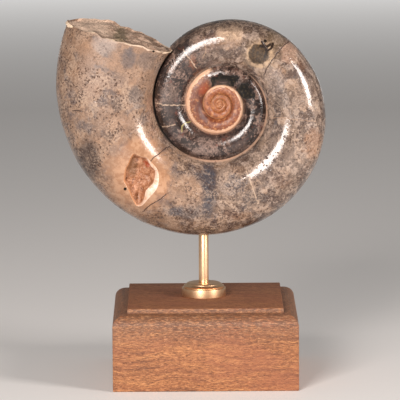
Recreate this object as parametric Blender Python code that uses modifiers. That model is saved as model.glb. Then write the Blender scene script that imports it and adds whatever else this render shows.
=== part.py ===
"""A polished Lytoceras ammonite on a brass rod and a square wooden base.

Metres, +Z up, seen from the front at -Y. The origin is the middle of the base's underside.
"""

from math import acos, atan2, ceil, cos, exp, log, pi, radians, sin

import bmesh
import bpy
from mathutils import Matrix, Vector, noise

MM = 0.001
GAP = 0.3 * MM  # left between two pieces that touch

# Wooden base
BASE_SIDE = 80 * MM
BASE_FACE = 28 * MM  # height of the upright face, below the rounded edge
ROUND_WIDTH = 6.4 * MM
ROUND_HEIGHT = 5 * MM
RAISED_TOP = 2 * MM
BASE_TOP = BASE_FACE + ROUND_HEIGHT + RAISED_TOP
ROUND_STEPS = 6

# Brass rod and collar
ROD_X = -0.5 * MM
ROD_RADIUS = 2.15 * MM
ROD_IN_BASE = 15 * MM
ROD_TOP = 71 * MM
COLLAR_RADIUS = 9.6 * MM
COLLAR_BAND = 3.8 * MM  # height of its upright band
COLLAR_GROOVE = 0.35 * MM
COLLAR_SHOULDER_RADIUS = 7.7 * MM
COLLAR_SHOULDER_HEIGHT = 5.3 * MM
COLLAR_TOP_RADIUS = 5.6 * MM
COLLAR_HEIGHT = 6 * MM
SHOULDER_STEPS = 3
ROUND_SIDES = 32

# Growth of the shell. A place along it is in turns, 0 at the outer corner of the mouth
SHELL_AXIS = Vector((6.8, 0, 119.2)) * MM
MOUTH_RADIUS = 75.6 * MM  # from the growth axis to that corner
MOUTH_ANGLE = radians(150.8)  # direction of that corner, anticlockwise from +X
LAST_GROWTH = log(2.36)  # the last whorl grows 2.36 times wider in a turn
EARLY_GROWTH = log(1.99)
IMPRESSED = 0.92  # back wall of a whorl, as a part of the radius of the whorl under it
HALF_WIDTH = 0.26  # half thickness of a whorl, as a part of its radius
ROUNDNESS = 2.15  # 2 is an ellipse, more has flatter flanks
RINGS_PER_TURN = 60
RINGS = 202
FLANK_PARTS = (0, 0.06, 0.2, 0.36, 0.52, 0.68, 0.84, 1)  # columns, from a seam to the next one
OUTER_PARTS = (0.34, 0.67, 1)  # columns beyond the next seam, out to the venter

# Broken mouth
MOUTH_END = 20.8 / 360  # it runs this far on where it meets the whorl before
MOUTH_SLANT_START = -0.17
MOUTH_CURVE = 0.6  # 1 makes the broken rim bulge, less makes it straight
MOUTH_TILT = 0.005  # turns by which the rim is short at the front and long at the back
MOUTH_CROSSINGS = 2 * len(OUTER_PARTS)
ROCK_RELIEF = 1.8 * MM
ROCK_SIZE = 8 * MM
ROCK_INDEX = 1  # marks the broken faces while they are made
MOUTH_PIT = Vector((-36, -16.5, 149.5)) * MM
MOUTH_PIT_RADIUS = 3 * MM

# Relief in the flanks
SEAM_GROOVE = 1.3 * MM  # deep line beside the last whorl, from the left up to the mouth
SEAM_GROOVE_START = -0.15
RECESS_DEPTH = 1.3 * MM  # broken front flank beside the innermost whorls
RECESS_START = -1.885
RECESS_END = -1.64
RECESS_PARTS = (0.1, 0.6)

# Hollow in the front of the last whorl, and the crust that lines it
HOLLOW_CORNERS = (  # X and Z of its opening, in millimetres
    (-31.3, 99.4), (-24.6, 98.0), (-20.8, 91.8), (-21.1, 87.6), (-25.6, 83.2),
    (-28.8, 77.0), (-32.7, 85.6), (-34.6, 90.0), (-33.8, 93.8),
)
HOLLOW_SLOPE = -13 * MM  # its walls draw in from this Y to its floor
HOLLOW_FLOOR = -7.5 * MM
HOLLOW_NARROW = 0.6  # width of its floor, as a part of its opening
CUTTER_FRONT = -30 * MM
CRUST_POINTS = 32
CRUST_LIP = 1.3 * MM
CRUST_LIP_CHANGE = 0.7 * MM  # thicker at the lower right, thinner at the upper left
CRYSTAL_HEIGHT = 0.9 * MM
BOWL_LEVELS = ((0.9, 0.3), (0.68, 0.55), (0.4, 0.7))  # width and depth, as parts of the hollow's

# Small pits in the front of the shell: X, Z and radius
PITS = ((-34.3 * MM, 84.4 * MM, 1.0 * MM), (26.5 * MM, 148.6 * MM, 0.9 * MM))
PIT_DEPTH = 1.5 * MM
PIT_SIDES = 8


def clear_scene():
    for thing in list(bpy.context.scene.objects):
        bpy.data.objects.remove(thing, do_unlink=True)


def new_collection(name):
    collection = bpy.data.collections.new(name)
    bpy.context.scene.collection.children.link(collection)
    return collection


def new_finish(name, colour, roughness, metallic=0.0):
    finish = bpy.data.materials.new(name)
    finish.use_nodes = True
    shader = finish.node_tree.nodes["Principled BSDF"]
    shader.inputs["Base Color"].default_value = (*colour, 1)
    shader.inputs["Roughness"].default_value = roughness
    shader.inputs["Metallic"].default_value = metallic
    return finish


def new_object(name, bm, collection, finish=None):
    """One object from a bmesh, with its faces pointing out."""
    bmesh.ops.recalc_face_normals(bm, faces=bm.faces)
    mesh = bpy.data.meshes.new(name)
    bm.to_mesh(mesh)
    bm.free()
    made = bpy.data.objects.new(name, mesh)
    collection.objects.link(made)
    if finish:
        mesh.materials.append(finish)
    return made


def cut(target, cutter):
    """Takes the shape of a hidden object out of the target."""
    cutter.hide_render = True
    cutter.display_type = "WIRE"
    boolean = target.modifiers.new("cut " + cutter.name, "BOOLEAN")
    boolean.operation = "DIFFERENCE"
    boolean.solver = "EXACT"
    boolean.object = cutter


def round_bar(name, radius, bottom, top, collection, finish=None):
    """An upright cylinder on the rod's centre line."""
    bm = bmesh.new()
    bmesh.ops.create_cone(
        bm, cap_ends=True, segments=ROUND_SIDES, radius1=radius, radius2=radius, depth=top - bottom
    )
    bmesh.ops.translate(bm, vec=(ROD_X, 0, (bottom + top) / 2), verts=bm.verts)
    return new_object(name, bm, collection, finish)


def wooden_base(collection, finish):
    """A square block whose top edge is rounded over, up to a small raised square."""
    bm = bmesh.new()
    bmesh.ops.create_cube(bm, size=1)
    bmesh.ops.scale(bm, vec=(BASE_SIDE, BASE_SIDE, BASE_FACE), verts=bm.verts)
    bmesh.ops.translate(bm, vec=(0, 0, BASE_FACE / 2), verts=bm.verts)
    top = [max(bm.faces, key=lambda face: face.calc_center_median().z)]
    angles = [pi / 2 * step / ROUND_STEPS for step in range(ROUND_STEPS + 1)]
    for before, after in zip(angles, angles[1:]):
        bmesh.ops.inset_region(
            bm,
            faces=top,
            use_even_offset=True,
            thickness=ROUND_WIDTH * (cos(before) - cos(after)),
            depth=ROUND_HEIGHT * (sin(after) - sin(before)),
        )
    raised = bmesh.ops.extrude_discrete_faces(bm, faces=top)["faces"][0]
    bmesh.ops.translate(bm, vec=(0, 0, RAISED_TOP), verts=raised.verts)
    return new_object("wooden_base", bm, collection, finish)


def brass_collar(collection, finish):
    """A turned ring: a low band, a fine groove, a slope in, and a rounded shoulder to a flat top."""
    hole = ROD_RADIUS + GAP
    angles = [pi / 2 * step / SHOULDER_STEPS for step in range(SHOULDER_STEPS + 1)]
    shoulder = [
        (
            COLLAR_TOP_RADIUS + (COLLAR_SHOULDER_RADIUS - COLLAR_TOP_RADIUS) * sin(angle),
            COLLAR_SHOULDER_HEIGHT + (COLLAR_HEIGHT - COLLAR_SHOULDER_HEIGHT) * cos(angle),
        )
        for angle in angles
    ]
    outline = (
        (hole, 0),
        (hole, COLLAR_HEIGHT),
        *shoulder,
        (COLLAR_RADIUS - 2 * COLLAR_GROOVE, COLLAR_BAND + COLLAR_GROOVE),
        (COLLAR_RADIUS - 2 * COLLAR_GROOVE, COLLAR_BAND),
        (COLLAR_RADIUS - COLLAR_GROOVE, COLLAR_BAND),
        (COLLAR_RADIUS, COLLAR_BAND - COLLAR_GROOVE),
        (COLLAR_RADIUS, COLLAR_GROOVE),
        (COLLAR_RADIUS - COLLAR_GROOVE, 0),
    )
    bm = bmesh.new()
    corners = [bm.verts.new((radius, 0, height)) for radius, height in outline]
    for pair in zip(corners, corners[1:] + corners[:1]):
        bm.edges.new(pair)
    collar = new_object("brass_collar", bm, collection, finish)
    collar.location = (ROD_X, 0, BASE_TOP + GAP)
    screw = collar.modifiers.new("turn", "SCREW")
    screw.steps = screw.render_steps = ROUND_SIDES
    screw.use_merge_vertices = True
    screw.merge_threshold = 0.01 * MM
    return collar


def venter(turns):
    """Radius of the shell's outer line, from the growth axis."""
    return MOUTH_RADIUS * exp(LAST_GROWTH * max(turns, -1) + EARLY_GROWTH * min(turns + 1, 0))


def section_sizes(turns):
    """Radius of the middle of a whorl's section, its half height and its half thickness."""
    outer = venter(turns)
    inner = IMPRESSED * venter(turns - 1)
    return (outer + inner) / 2, (outer - inner) / 2, HALF_WIDTH * outer


def section_point(turns, lobe):
    """Radius and half thickness at an angle round the section, 0 at the venter and pi at the back."""
    middle, half_height, half_width = section_sizes(turns)
    power = 2 / ROUNDNESS
    across = abs(cos(lobe)) ** power * (1 if lobe < pi / 2 else -1)
    return middle + half_height * across, half_width * sin(lobe) ** power


def half_thickness(turns, radius):
    middle, half_height, half_width = section_sizes(turns)
    across = min(1, abs(radius - middle) / half_height)
    return half_width * (1 - across**ROUNDNESS) ** (1 / ROUNDNESS)


def seam_lobe(turns):
    """Where a whorl's flank meets the whorl before, found by halving."""
    clear, sunk = pi / 2, pi - 0.001
    for _ in range(40):
        middle = (clear + sunk) / 2
        radius, width = section_point(turns, middle)
        if width > half_thickness(turns - 1, radius):
            clear = middle
        else:
            sunk = middle
    return clear


def cover_lobe(turns):
    """Where the next whorl's seam lies on this whorl."""
    radius = section_point(turns + 1, seam_lobe(turns + 1))[0]
    middle, half_height, _ = section_sizes(turns)
    return acos(((radius - middle) / half_height) ** (ROUNDNESS / 2))


def smooth(value, low, high):
    step = min(1, max(0, (value - low) / (high - low)))
    return step * step * (3 - 2 * step)


def lag(turns, radius, side):
    """How far growth falls behind there, which slants and tilts the mouth."""
    seam = section_point(turns, seam_lobe(turns))[0]
    outward = min(1, max(0, (radius - seam) / (venter(turns) - seam)))
    slant = MOUTH_END * outward**MOUTH_CURVE - side * MOUTH_TILT * 4 * outward * (1 - outward)
    return slant * smooth(turns, MOUTH_SLANT_START, MOUTH_END)


def relief(turns, part, side):
    """Depth below the smooth flank, part 0 at its seam and 1 at the next one."""
    if part == 0:
        return SEAM_GROOVE * smooth(turns, SEAM_GROOVE_START, 0)
    if side > 0 or not RECESS_PARTS[0] < part < RECESS_PARTS[1]:
        return 0
    begun = smooth(turns, RECESS_START, RECESS_START + 0.01)
    return RECESS_DEPTH * begun * (1 - smooth(turns, RECESS_END - 0.06, RECESS_END))


def shell_place(turns, lobe, side, depth=0.0):
    """Point of the shell, side -1 at the front and 1 at the back."""
    radius, width = section_point(turns, lobe)
    grown = turns - lag(turns, radius, side)
    angle = MOUTH_ANGLE - 2 * pi * grown
    scale = venter(grown) / venter(turns)
    out = Vector((cos(angle), 0, sin(angle)))
    return SHELL_AXIS + out * radius * scale + Vector((0, side * (width * scale - depth), 0))


def ring(turns, side, covered):
    """Points of one growth ring, from its seam to the next seam, or on to the venter."""
    seam, cover = seam_lobe(turns), cover_lobe(turns)
    points = [
        shell_place(turns, seam + (cover - seam) * part, side, relief(turns, part, side))
        for part in FLANK_PARTS
    ]
    if not covered:
        points += [shell_place(turns, cover * (1 - part), side) for part in OUTER_PARTS]
    return points


def grow_side(bm, side, other_side=None):
    """One side of the shell, ring after ring. A seam's vertices belong to the whorl before, too."""
    notch = RINGS - RINGS_PER_TURN
    last = len(FLANK_PARTS) - 1
    rings = []
    for index in range(RINGS + 1):
        turns = MOUTH_END - (RINGS - index) / RINGS_PER_TURN
        points = ring(turns, side, covered=index < notch)
        verts = [bm.verts.new(point) for point in points[1:]]
        if index >= notch and other_side:
            bm.verts.remove(verts.pop())
            verts.append(other_side[index][-1])
        if index < RINGS_PER_TURN:
            seam = bm.verts.new(points[0])
        else:
            seam = rings[index - RINGS_PER_TURN][last]
            seam.co = points[0]
        rings.append([seam, *verts])
    for before, after in zip(rings, rings[1:]):
        for corners in zip(before, before[1:], after[1:], after):
            bm.faces.new(corners)
    first_turn = [verts[0] for verts in rings[: RINGS_PER_TURN + 1]] + rings[0][1:last][::-1]
    thick = HALF_WIDTH * venter(MOUTH_END - RINGS / RINGS_PER_TURN)
    centre = bm.verts.new(SHELL_AXIS + Vector((0, side * thick, 0)))
    for pair in zip(first_turn, first_turn[1:] + first_turn[:1]):
        bm.faces.new((*pair, centre))
    return rings


def close_mouth(bm, front, back):
    """The broken face: rows of rock from the whorl before out to the corner of the mouth."""
    notch = RINGS - RINGS_PER_TURN
    last = len(FLANK_PARTS) - 1
    row = front[notch][last:] + back[notch][last:-1][::-1]
    rock = []
    for rim_front, rim_back in zip(front[-1][1:-1], back[-1][1:-1]):
        inside = [
            bm.verts.new(rim_front.co.lerp(rim_back.co, step / MOUTH_CROSSINGS))
            for step in range(1, MOUTH_CROSSINGS)
        ]
        next_row = [rim_front, *inside, rim_back]
        rock += [bm.faces.new(corners) for corners in zip(row, row[1:], next_row[1:], next_row)]
        row = next_row
    rock += [bm.faces.new((*pair, front[-1][-1])) for pair in zip(row, row[1:])]
    for face in rock:
        face.material_index = ROCK_INDEX
    inner = [edge for edge in bm.edges if all(face.material_index for face in edge.link_faces)]
    bmesh.ops.subdivide_edges(bm, edges=inner, cuts=1, use_grid_fill=True)
    growing = Vector((sin(MOUTH_ANGLE), 0, -cos(MOUTH_ANGLE)))
    for vert in bm.verts:
        if all(face.material_index for face in vert.link_faces):
            height = noise.noise(vert.co / ROCK_SIZE) + 0.5 * noise.noise(vert.co / ROCK_SIZE * 2)
            vert.co += growing * ROCK_RELIEF * height
    for face in bm.faces:
        face.material_index = 0


def front_surface(x, z):
    """Y of the front of the last whorl."""
    from_axis = Vector((x, 0, z)) - SHELL_AXIS
    turns = (MOUTH_ANGLE - atan2(from_axis.z, from_axis.x)) / (2 * pi)
    turns -= ceil(turns - MOUTH_END)
    return -half_thickness(turns, Vector((from_axis.x, from_axis.z)).length)


def hollow_outline():
    """Points evenly spaced round the opening of the hollow, and their middle."""
    corners = [Vector((x, z)) * MM for x, z in HOLLOW_CORNERS]
    sides = list(zip(corners, corners[1:] + corners[:1]))
    around = sum((end - start).length for start, end in sides)
    points = []
    for index in range(CRUST_POINTS):
        along = around * index / CRUST_POINTS
        for start, end in sides:
            length = (end - start).length
            if along < length:
                points.append(start.lerp(end, along / length))
                break
            along -= length
    return points, sum(corners, Vector((0, 0))) / len(corners)


def hollow_width(y):
    """Width of the hollow at that depth, as a part of its opening."""
    down = min(1, max(0, (y - HOLLOW_SLOPE) / (HOLLOW_FLOOR - HOLLOW_SLOPE)))
    return 1 + (HOLLOW_NARROW - 1) * down


def loft(bm, loops):
    """Walls between closed loops that have as many points each. Returns their vertices."""
    made = [[bm.verts.new(point) for point in loop] for loop in loops]
    for before, after in zip(made, made[1:]):
        for corners in zip(before, before[1:] + before[:1], after[1:] + after[:1], after):
            bm.faces.new(corners)
    return made


def hollow_cutter(collection):
    """Straight walls through the surface, then walls that draw in to a flat floor."""
    points, middle = hollow_outline()
    loops = []
    for y in (CUTTER_FRONT, HOLLOW_SLOPE, HOLLOW_FLOOR):
        places = [middle + (point - middle) * hollow_width(y) for point in points]
        loops.append([(place.x, y, place.y) for place in places])
    bm = bmesh.new()
    made = loft(bm, loops)
    bm.faces.new(made[0])
    bm.faces.new(made[-1])
    return new_object("hollow_cutter", bm, collection)


def calcite_crust(collection, finish):
    """The lining of the hollow: a lip flush with the shell round a bowl of short blunt crystals."""
    points, middle = hollow_outline()
    gaps = [
        (before - after).orthogonal().normalized() * GAP
        for before, after in zip(points[-1:] + points[:-1], points[1:] + points[:1])
    ]
    floor = HOLLOW_FLOOR - GAP
    loops = []
    for y in (floor, HOLLOW_SLOPE):
        wall = [middle + (point - middle) * hollow_width(y) + gap for point, gap in zip(points, gaps)]
        loops.append([(place.x, y, place.y) for place in wall])
    lower_right = Vector((1, -1)).normalized()
    rim, edge = [], []
    for point, gap in zip(points, gaps):
        out = (point - middle).normalized()
        rim.append(point + gap)
        edge.append(point + gap - out * (CRUST_LIP + CRUST_LIP_CHANGE * out.dot(lower_right)))
    for line in (rim, edge):
        loops.append([(place.x, front_surface(place.x, place.y), place.y) for place in line])
    for level, (width, depth) in enumerate(BOWL_LEVELS):
        bowl = []
        for index, place in enumerate(edge):
            spot = middle + (place - middle) * width
            top = front_surface(spot.x, spot.y)
            crystal = CRYSTAL_HEIGHT * noise.cell(Vector((1.7 * index, 3.1 * level, 0.5)))
            bowl.append((spot.x, top + (floor - top) * depth - crystal, spot.y))
        loops.append(bowl)
    bm = bmesh.new()
    made = loft(bm, loops)
    bm.faces.new(made[0])
    deepest = BOWL_LEVELS[-1][1]
    centre = bm.verts.new((middle.x, HOLLOW_SLOPE + (floor - HOLLOW_SLOPE) * deepest, middle.y))
    for pair in zip(made[-1], made[-1][1:] + made[-1][:1]):
        bm.faces.new((*pair, centre))
    return new_object("calcite_crust", bm, collection, finish)


def pit_cutter(name, x, z, radius, collection):
    """A blunt cone that points into the front of the shell."""
    bm = bmesh.new()
    bmesh.ops.create_cone(
        bm, cap_ends=True, segments=PIT_SIDES, radius1=radius / 3, radius2=radius, depth=2 * PIT_DEPTH
    )
    bmesh.ops.rotate(bm, cent=(0, 0, 0), matrix=Matrix.Rotation(pi / 2, 3, "X"), verts=bm.verts)
    bmesh.ops.translate(bm, vec=(x, front_surface(x, z), z), verts=bm.verts)
    return new_object(name, bm, collection)


def mouth_pit_cutter(collection):
    bm = bmesh.new()
    bmesh.ops.create_icosphere(bm, subdivisions=1, radius=MOUTH_PIT_RADIUS)
    bmesh.ops.translate(bm, vec=MOUTH_PIT, verts=bm.verts)
    return new_object("mouth_pit_cutter", bm, collection)


def ammonite(collection, finish):
    """The whole fossil, from its first whorls to the broken mouth."""
    bm = bmesh.new()
    front = grow_side(bm, -1)
    back = grow_side(bm, 1, other_side=front)
    close_mouth(bm, front, back)
    return new_object("ammonite", bm, collection, finish)


def main():
    clear_scene()
    parts = new_collection("ammonite_on_stand")
    cutters = new_collection("cutters")

    wood = new_finish("oiled wood", (0.42, 0.21, 0.12), 0.5)
    brass = new_finish("satin brass", (0.78, 0.55, 0.3), 0.3, metallic=1.0)
    polished = new_finish("polished fossil", (0.36, 0.28, 0.22), 0.15)
    calcite = new_finish("calcite", (0.66, 0.36, 0.2), 0.35)

    base = wooden_base(parts, wood)
    round_bar("brass_rod", ROD_RADIUS, BASE_TOP - ROD_IN_BASE, ROD_TOP, parts, brass)
    brass_collar(parts, brass)
    fossil = ammonite(parts, polished)
    calcite_crust(parts, calcite)

    drill_bottom = BASE_TOP - ROD_IN_BASE - GAP
    cut(base, round_bar("base_drill", ROD_RADIUS + GAP, drill_bottom, BASE_TOP + COLLAR_HEIGHT, cutters))
    cut(fossil, round_bar("fossil_drill", ROD_RADIUS + GAP, BASE_TOP, ROD_TOP + GAP, cutters))
    cut(fossil, hollow_cutter(cutters))
    cut(fossil, mouth_pit_cutter(cutters))
    for number, (x, z, radius) in enumerate(PITS, 1):
        cut(fossil, pit_cutter(f"pit_cutter_{number}", x, z, radius, cutters))


main()
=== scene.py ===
# %% [markdown]
# # A polished ammonite on a brass stand
#
# The real object is the coiled shell of an ammonite that has turned to stone. It was ground and
# polished until its inner patterns showed, and it stands on a brass rod over a small wooden base.
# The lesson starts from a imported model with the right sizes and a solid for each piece. Each solid
# is replaced here by a finer piece with its own finish, in the same place.

from math import acos, ceil, cos, exp, log, pi, radians, sin

import bmesh
import bpy
from mathutils import Matrix, Vector, bvhtree, noise


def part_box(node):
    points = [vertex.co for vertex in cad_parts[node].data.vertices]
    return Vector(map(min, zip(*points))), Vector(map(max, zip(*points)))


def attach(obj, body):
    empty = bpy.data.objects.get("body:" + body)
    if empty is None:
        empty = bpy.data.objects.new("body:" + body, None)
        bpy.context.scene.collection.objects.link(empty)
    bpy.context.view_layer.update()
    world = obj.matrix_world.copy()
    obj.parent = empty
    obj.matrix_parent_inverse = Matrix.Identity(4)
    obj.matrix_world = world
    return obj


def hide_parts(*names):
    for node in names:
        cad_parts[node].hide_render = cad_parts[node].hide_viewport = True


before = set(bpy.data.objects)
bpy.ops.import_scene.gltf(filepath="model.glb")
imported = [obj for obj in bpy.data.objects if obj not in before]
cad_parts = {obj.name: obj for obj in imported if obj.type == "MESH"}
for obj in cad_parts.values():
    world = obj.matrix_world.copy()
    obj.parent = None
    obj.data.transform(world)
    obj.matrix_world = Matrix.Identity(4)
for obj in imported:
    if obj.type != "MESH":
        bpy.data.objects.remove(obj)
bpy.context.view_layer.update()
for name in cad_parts:
    low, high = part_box(name)
    print(name, [round(1000 * side, 1) for side in high - low], "mm")

# %% [markdown]
# ## Units, colours and finished pieces
#
# Blender works in metres, so a length in millimetres is multiplied by `MM`. Colours are easiest to
# name as the 0 to 255 numbers of a picture, but a shader wants linear light, so one function turns
# the first into the second. Another function turns a bmesh into a piece: it sits at the origin,
# rides on the frame's only body and stands for its solid.

# %% Helpers for pieces
MM = 0.001


def srgb(red, green, blue):
    """A picture's colour as the linear colour that a shader wants."""
    shares = [number / 255 for number in (red, green, blue)]
    linear = [c / 12.92 if c < 11 / 255 else ((c + 0.055) / 1.055) ** 2.4 for c in shares]
    return (*linear, 1)


def in_scene(name, data):
    """A new object at the origin, linked to the scene."""
    made = bpy.data.objects.new(name, data)
    bpy.context.scene.collection.objects.link(made)
    return made


def new_mesh(name, bm):
    """A mesh from a bmesh, which is used up."""
    mesh = bpy.data.meshes.new(name)
    bm.to_mesh(mesh)
    bm.free()
    return mesh


def new_piece(name, bm, finishes, node, sharp_angle=40):
    """A finished piece from a bmesh, smooth except at edges sharper than the angle."""
    mesh = new_mesh(name, bm)
    for finish in finishes:
        mesh.materials.append(finish)
    mesh.shade_smooth()
    mesh.set_sharp_from_angle(angle=radians(sharp_angle))
    piece = in_scene(name, mesh)
    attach(piece, "root")
    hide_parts(node)
    print(name, len(mesh.polygons), "faces")


def cut_bmesh(bm, cutter):
    """The first shape less the second, as a new bmesh. Both are used up."""
    whole = in_scene("whole", new_mesh("whole", bm))
    tool = in_scene("cutter", new_mesh("cutter", cutter))
    boolean = whole.modifiers.new("cut", "BOOLEAN")
    boolean.operation = "DIFFERENCE"
    boolean.solver = "EXACT"
    boolean.object = tool
    result = bmesh.new()
    result.from_object(whole, bpy.context.evaluated_depsgraph_get())
    for shape in (whole, tool):
        bpy.data.objects.remove(shape, do_unlink=True)
    return result


def soften(bm, edges, offset, segments):
    """Takes the razor edge off."""
    bmesh.ops.bevel(
        bm, geom=edges, offset=offset, segments=segments, profile=0.5, affect="EDGES", material=-1
    )


def faces_at(verts):
    return {face for vert in verts for face in vert.link_faces}


# %% [markdown]
# ## Signals
#
# A procedural material is a network of nodes, and it reads more easily as arithmetic. A `Signal`
# stands for one output of a node, and a sum, difference or product of signals adds the Math node
# for it. Masks are signals from 0 to 1, so the product of two masks is where both are. Places are
# scaled to millimetres, so that every size in a material is a size on the real thing.

# %% Helpers for materials
class Signal:
    """One output of a node."""

    def __init__(self, socket):
        self.socket = socket

    def __add__(self, other):
        return calc("ADD", self, other)

    def __sub__(self, other):
        return calc("SUBTRACT", self, other)

    def __rsub__(self, other):
        return calc("SUBTRACT", other, self)

    def __mul__(self, other):
        return calc("MULTIPLY", self, other)

    def __abs__(self):
        return calc("ABSOLUTE", self)


def plug(made, inputs):
    """Sets a node's inputs. Each is a value, or a signal to link."""
    for name, value in inputs.items():
        if isinstance(value, Signal):
            made.id_data.links.new(value.socket, made.inputs[name])
        else:
            made.inputs[name].default_value = value


def add(kind, inputs, output=0, tree=None, **settings):
    """Adds a node to the tree of the signals that it reads, and returns one of its outputs."""
    if tree is None:
        signals = [value for value in inputs.values() if isinstance(value, Signal)]
        tree = signals[0].socket.id_data
    made = tree.nodes.new("ShaderNode" + kind)
    for key, value in settings.items():
        setattr(made, key, value)
    plug(made, inputs)
    return Signal(made.outputs[output])


def calc(operation, first, second=0.0, clamp=False):
    return add("Math", {0: first, 1: second}, operation=operation, use_clamp=clamp)


def vector(operation, first, second=(0, 0, 0), output=0):
    return add("VectorMath", {0: first, 1: second}, output, operation=operation)


def combine(operation, *signals):
    """One signal from several, such as the MAXIMUM of them."""
    result = signals[0]
    for signal in signals[1:]:
        result = calc(operation, result, signal)
    return result


def axis(place, letter):
    return add("SeparateXYZ", {"Vector": place}, letter)


# %% [markdown]
# ## Steps, patterns and paint
#
# A finish is built from a few kinds of thing: soft steps, which cut a mask out of a pattern, clouds
# of noise, ways to stretch a place or make it wander, and tints laid one over another.

# %% Steps, patterns and paint
def linear(value, low, high):
    return add("MapRange", {"Value": value, "From Min": low, "From Max": high})


def step(value, low, high, start=0.0, end=1.0):
    """Turns smoothly from start to end while the value goes from low to high."""
    sockets = {"Value": value, "From Min": low, "From Max": high, "To Min": start, "To Max": end}
    return add("MapRange", sockets, interpolation_type="SMOOTHSTEP")


def between(value, low, high, soft):
    """1 while the value is between low and high, with soft ends."""
    return step(value, low - soft, low + soft) * step(value, high - soft, high + soft, 1, 0)


def cloud(place, size, detail=4.0, roughness=0.55):
    """Soft noise, 0 to 1, whose patches are about that size."""
    sockets = {"Vector": place, "Scale": 1 / size, "Detail": detail, "Roughness": roughness}
    return add("TexNoise", sockets, "Fac")


def three_clouds(place, size):
    """Three clouds in one, as the parts of a vector."""
    return add("TexNoise", {"Vector": place, "Scale": 1 / size, "Detail": 3.0}, "Color")


def stretched(place, x=1, y=1, z=1):
    """The place divided by a number along each axis, which stretches a pattern by it."""
    return vector("DIVIDE", place, (x, y, z))


def wander(place, size, amount):
    """The place, moved by noise of that size by up to about half the amount."""
    push = vector("SUBTRACT", three_clouds(place, size), (0.5, 0.5, 0.5))
    return vector("ADD", place, vector("MULTIPLY", push, (amount, amount, amount)))


def flattened(place):
    """The place with its depth left out, for marks that are given by X and Z."""
    return vector("MULTIPLY", place, (1, 0, 1))


def mix(share, first, second):
    """From the first colour to the second. A colour is a signal or three numbers of a picture."""
    first, second = [c if isinstance(c, Signal) else srgb(*c) for c in (first, second)]
    return add("Mix", {0: share, 6: first, 7: second}, 2, data_type="RGBA")


def paint(colour, *layers):
    """Lays tints over a colour in turn. Each layer is a mask and a tint."""
    for mask, tint in layers:
        colour = mix(mask, colour, tint)
    return colour


def ramp(value, *stops):
    """A colour that passes through the stops, each a position and a colour."""
    made = add("ValToRGB", {0: value})
    points = made.socket.node.color_ramp.elements
    while len(points) < len(stops):
        points.new(0.5)
    for point, (position, colour) in zip(points, stops):
        point.position = position
        point.color = srgb(*colour)
    return made


def bump(height):
    """Relief from a height in millimetres."""
    return add("Bump", {"Height": height, "Distance": MM, "Strength": 1.0})


def new_finish(name):
    """A material and its shader."""
    finish = bpy.data.materials.new(name)
    finish.use_nodes = True
    return finish, finish.node_tree.nodes["Principled BSDF"]


def millimetres(shader):
    """The place on the piece, in millimetres."""
    place = add("TexCoord", {}, "Object", shader.id_data)
    return add("VectorMath", {0: place, "Scale": 1 / MM}, operation="SCALE")


# %% [markdown]
# ## Camera
#
# The object is seen from the front and a little above, from well back with a long lens, which keeps
# the base's sides almost straight. The camera is placed by its position and three turns, and the
# lens follows from how many picture widths away the object is.

# %% Camera
CAMERA_PLACE = Vector((-8.5, -1686.5, 321.5)) * MM
CAMERA_TURN, CAMERA_DOWN, CAMERA_ROLL = radians(-0.222), radians(8.24), radians(0.33)
SENSOR = 36
FOCAL_WIDTHS = 3902.6 / 400

camera_data = bpy.data.cameras.new("camera")
camera_data.sensor_width = SENSOR
camera_data.lens = FOCAL_WIDTHS * SENSOR
camera = in_scene("camera", camera_data)
turns = (
    Matrix.Rotation(CAMERA_TURN, 4, "Z")
    @ Matrix.Rotation(-CAMERA_DOWN, 4, "X")
    @ Matrix.Rotation(CAMERA_ROLL, 4, "Y")
)
camera.matrix_world = Matrix.Translation(CAMERA_PLACE) @ turns @ Matrix.Rotation(pi / 2, 4, "X")
bpy.context.scene.camera = camera
print("lens", round(camera_data.lens), "mm")

# %% [markdown]
# ## Light and floor
#
# A polished stone is mostly seen by what it mirrors. Two soft boxes give the long bright streaks:
# one to the left of the camera, one further round to the right, both a little above the shell. A
# dim even sky fills the shadows. The floor is one large pale sheet, so that nothing else is
# mirrored, and a panel far behind the object keeps its far side light.

# %% Soft boxes, sky and floor
AIM = Vector((0, 0, 115)) * MM
LIGHT_AWAY = 1.1
WARM_WHITE = (1, 0.92, 0.87)
PANEL_PLACE, PANEL_TILT = (0, 3.4, 1.7), radians(35)
FLOOR_HALF_SIDE = 6
FLOOR_GAP = 0.1 * MM


def new_lamp(name, size, power):
    light = bpy.data.lights.new(name, "AREA")
    light.size = size
    light.energy = power
    lamp = in_scene(name, light)
    lamp.visible_camera = False
    return lamp


def soft_box(name, side_angle, height_angle, width_angle, tall_angle, power):
    """A rectangle of light, placed and sized by the angles at which the object sees it."""
    side, up = radians(side_angle), radians(height_angle)
    out = Vector((sin(side) * cos(up), -cos(side) * cos(up), sin(up)))
    lamp = new_lamp(name, LIGHT_AWAY * radians(width_angle), power)
    lamp.data.shape = "RECTANGLE"
    lamp.data.size_y = LIGHT_AWAY * radians(tall_angle)
    lamp.data.color = WARM_WHITE
    lamp.location = AIM + out * LIGHT_AWAY
    lamp.rotation_euler = out.to_track_quat("Z", "Y").to_euler()
    print(name, round(lamp.data.size, 2), "by", round(lamp.data.size_y, 2), "m")


soft_box("left soft box", -19, 16, 19, 26, 13)
soft_box("right soft box", 54, 15, 16, 24, 9.5)
panel = new_lamp("floor panel", 2.4, 120)
panel.location = PANEL_PLACE
panel.rotation_euler = (PANEL_TILT, 0, 0)

sky = bpy.data.worlds.new("sky")
sky.use_nodes = True
plug(sky.node_tree.nodes["Background"], {"Color": (1, 0.98, 0.96, 1), "Strength": 0.22})
bpy.context.scene.world = sky
bpy.context.scene.view_settings.view_transform = "Standard"

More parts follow.
